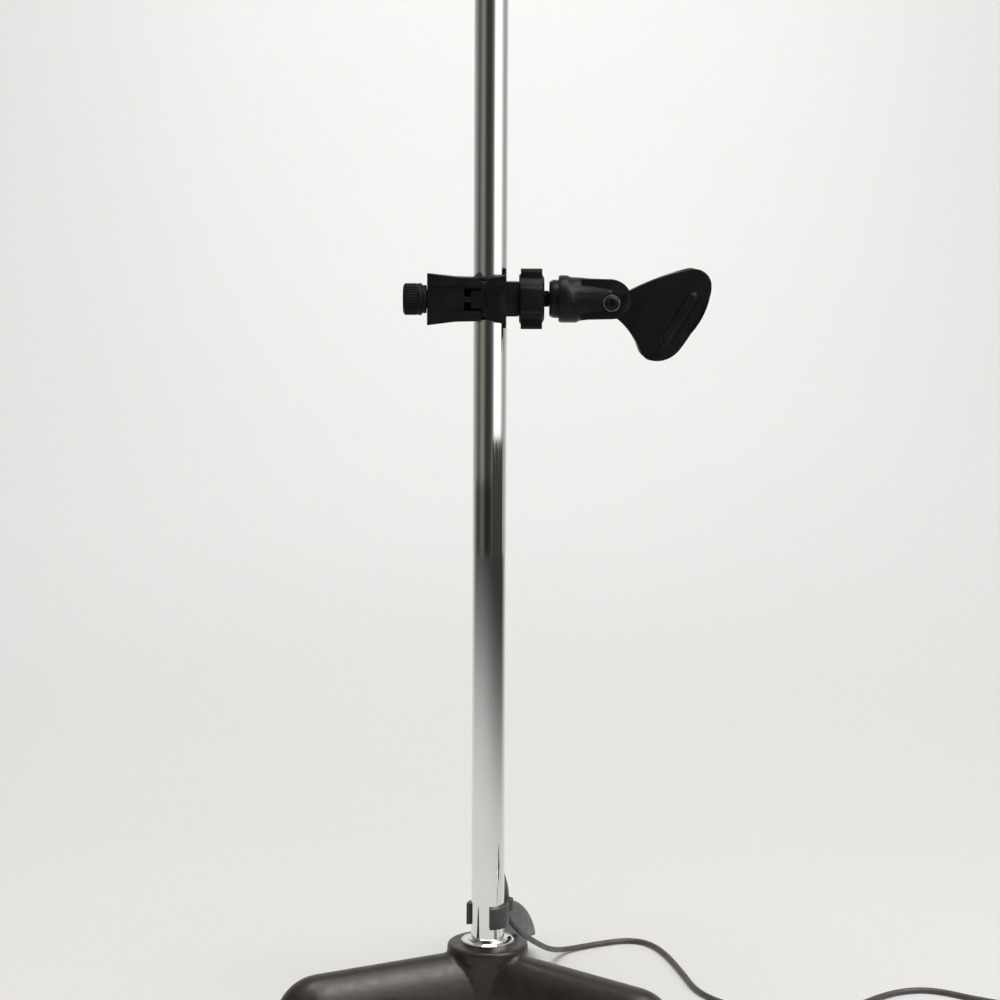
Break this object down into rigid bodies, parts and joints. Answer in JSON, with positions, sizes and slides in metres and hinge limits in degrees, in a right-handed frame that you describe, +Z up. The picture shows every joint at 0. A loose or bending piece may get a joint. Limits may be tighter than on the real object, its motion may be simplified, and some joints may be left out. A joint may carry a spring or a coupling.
{
  "type": "microphone stand",
  "caption": "Telescoping tube on a cast tripod base, with a clip for its cable and a screw clamp whose side arm carries a tilting microphone clip.",
  "frame": {"origin": "on the floor, on the tube's axis, under the hub's flat underside", "axes": "+Z up along the tube; +X the way the side arm points at rest; -Y the front"},
  "size_m": [0.5229, 0.2578, 0.869],
  "materials": {
    "base_paint": "satin dark brown-black paint over a sand casting",
    "chrome": "bright chrome plate",
    "zinc": "zinc-plated steel",
    "brass": "turned brass",
    "black_rubber": "matt black rubber",
    "cable_jacket": "soft dark grey jacket",
    "black_plastic": "satin black moulded plastic",
    "clip_plastic": "satin black moulded plastic, slightly glossy",
    "grey_plastic": "dark grey moulded plastic",
    "nylon": "natural nylon",
    "strap": "woven black strap"
  },
  "bodies": {
    "base": {"base_casting": "base_paint", "rubber_feet": "black_rubber", "base_flange": "chrome", "lower_tube": "chrome", "tube_bottom_plug": "zinc", "base_bolt": "zinc", "base_washer": "zinc", "clutch_body": "chrome", "cable_clip": "grey_plastic", "cable_grommet": "black_rubber", "cable_lead": "cable_jacket", "cable_tail": "cable_jacket", "cable_coil": "cable_jacket", "coil_tie": "strap", "plug_boot": "black_rubber", "plug_shell": "zinc", "plug_insert": "black_plastic", "plug_pins": "zinc"},
    "collet": {"clutch_collet": "nylon"},
    "mast": {"upper_tube": "chrome", "guide_bush": "nylon", "top_stud": "zinc"},
    "grip": {"clutch_grip": "black_plastic"},
    "sleeve": {"clamp_sleeve": "black_rubber"},
    "clamp": {"hook_jaw": "black_plastic", "screw_insert": "brass"},
    "saddle": {"saddle_jaw": "black_plastic", "knob_washer": "zinc"},
    "knob": {"screw_knob": "black_plastic", "clamp_screw": "zinc"},
    "nut": {"ring_nut": "black_plastic"},
    "arm": {"arm_stud": "zinc", "thread_insert": "brass", "insert_collar": "black_plastic", "clip_barrel": "clip_plastic", "pivot_washers": "zinc", "pivot_bolt": "zinc", "pivot_nut": "zinc"},
    "clip": {"clip_cup": "clip_plastic"}
  },
  "joints": [
    {"name": "mast_turn", "type": "hinge", "parent": "base", "child": "collet", "pos_m": [0, 0, 0.745], "axis": [0, 0, 1], "continuous": true},
    {"name": "mast_height", "type": "slide", "parent": "collet", "child": "mast", "axis": [0, 0, 1], "range_m": [0, 0.51]},
    {"name": "clutch_twist", "type": "hinge", "parent": "base", "child": "grip", "pos_m": [0, 0, 0.745], "axis": [0, 0, 1], "range_deg": [0, 180]},
    {"name": "clamp_height", "type": "slide", "parent": "base", "child": "sleeve", "axis": [0, 0, 1], "range_m": [-0.3, 0.19]},
    {"name": "clamp_swing", "type": "hinge", "parent": "sleeve", "child": "clamp", "pos_m": [0, 0, 0.4825], "axis": [0, 0, 1], "continuous": true},
    {"name": "jaw_open", "type": "slide", "parent": "clamp", "child": "saddle", "axis": [-1, 0, 0], "range_m": [0, 0.006]},
    {"name": "knob_turn", "type": "hinge", "parent": "saddle", "child": "knob", "pos_m": [-0.05, -0.019, 0.4825], "axis": [-1, 0, 0], "range_deg": [0, 2160]},
    {"name": "ring_nut_turn", "type": "hinge", "parent": "clamp", "child": "nut", "pos_m": [0.027, 0, 0.4825], "axis": [1, 0, 0], "range_deg": [0, 180]},
    {"name": "arm_roll", "type": "hinge", "parent": "clamp", "child": "arm", "pos_m": [0.03, 0, 0.4825], "axis": [1, 0, 0], "continuous": true},
    {"name": "clip_tilt", "type": "hinge", "parent": "arm", "child": "clip", "pos_m": [0.0795, 0, 0.4801], "axis": [0, 1, 0], "range_deg": [-90, 60]}
  ],
  "couplings": [
    {"joint": "knob_turn", "follows": "jaw_open", "rad_per_m": 6283.2}
  ]
}
